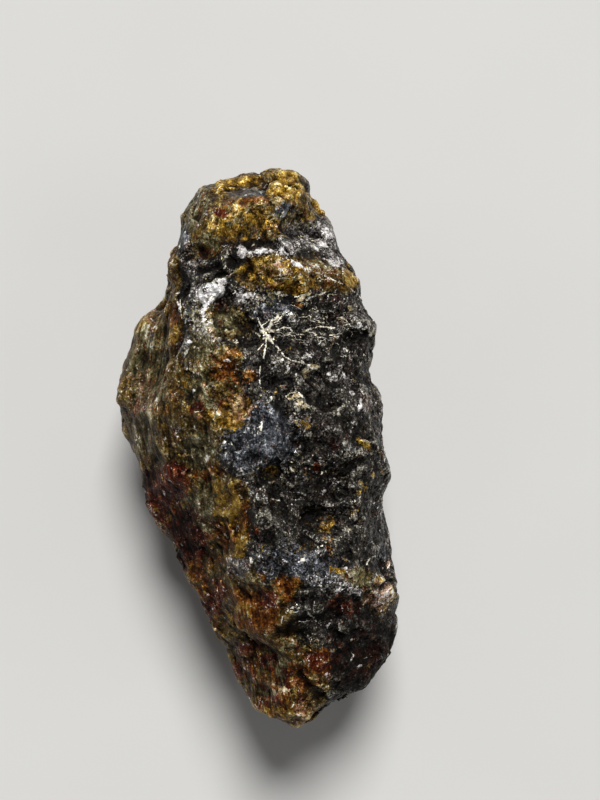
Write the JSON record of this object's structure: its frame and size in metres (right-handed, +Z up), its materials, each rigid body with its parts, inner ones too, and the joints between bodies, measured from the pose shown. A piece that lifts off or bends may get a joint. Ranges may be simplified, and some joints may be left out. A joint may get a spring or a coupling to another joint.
{
  "type": "chalcopyrite specimen",
  "caption": "Hand-sized lump of massive tarnished chalcopyrite with dark sphalerite, white quartz and cream veins, lying show face up on a small flat spot.",
  "frame": {"origin": "middle of the stone's box, on the surface that it rests on", "axes": "+Y from the foot end to the narrow head, +X to the right of the show face, +Z up out of the show face"},
  "size_m": [0.0764, 0.151, 0.0598],
  "materials": {
    "tarnished_ore": "rough broken ore: brassy gold, rust and olive tarnish, near-black crystalline areas, white quartz grains and cream veins"
  },
  "bodies": {
    "root": {"chalcopyrite_specimen": "tarnished_ore"}
  },
  "joints": []
}
